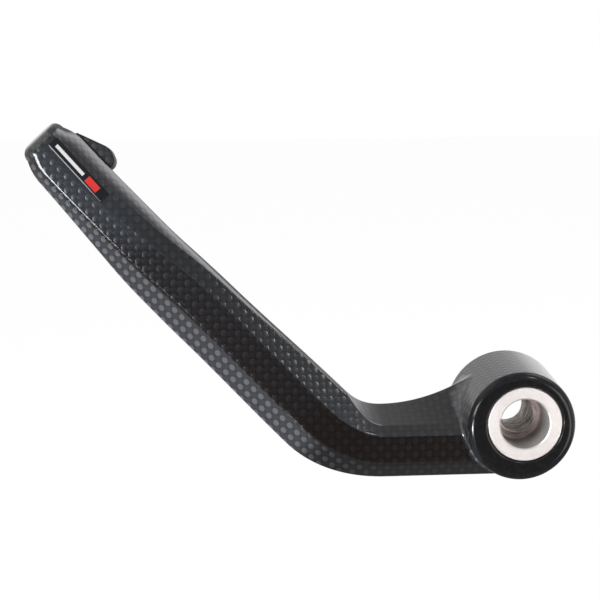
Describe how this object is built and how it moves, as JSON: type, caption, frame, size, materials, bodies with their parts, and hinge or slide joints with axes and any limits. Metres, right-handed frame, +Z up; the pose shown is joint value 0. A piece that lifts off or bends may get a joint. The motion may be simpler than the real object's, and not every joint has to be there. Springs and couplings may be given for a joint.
{
  "type": "brake lever guard",
  "caption": "Moulded carbon guard arm with a round hub and a turned metal insert; it bolts to a handlebar end so that its bent, bevelled arm shields the brake lever.",
  "frame": {"origin": "on the hub's bore axis, at the inboard seat that meets the bar end", "axes": "+Y inboard along the bore axis, +Z up as pictured, -X along the neck away from the hub"},
  "size_m": [0.1614, 0.0525, 0.1038],
  "materials": {
    "carbon": "plain-weave carbon laminate under a clear gloss coat",
    "insert": "turned and bright"
  },
  "bodies": {
    "root": {"guard_arm": "carbon", "hub_insert": "insert"}
  },
  "joints": []
}
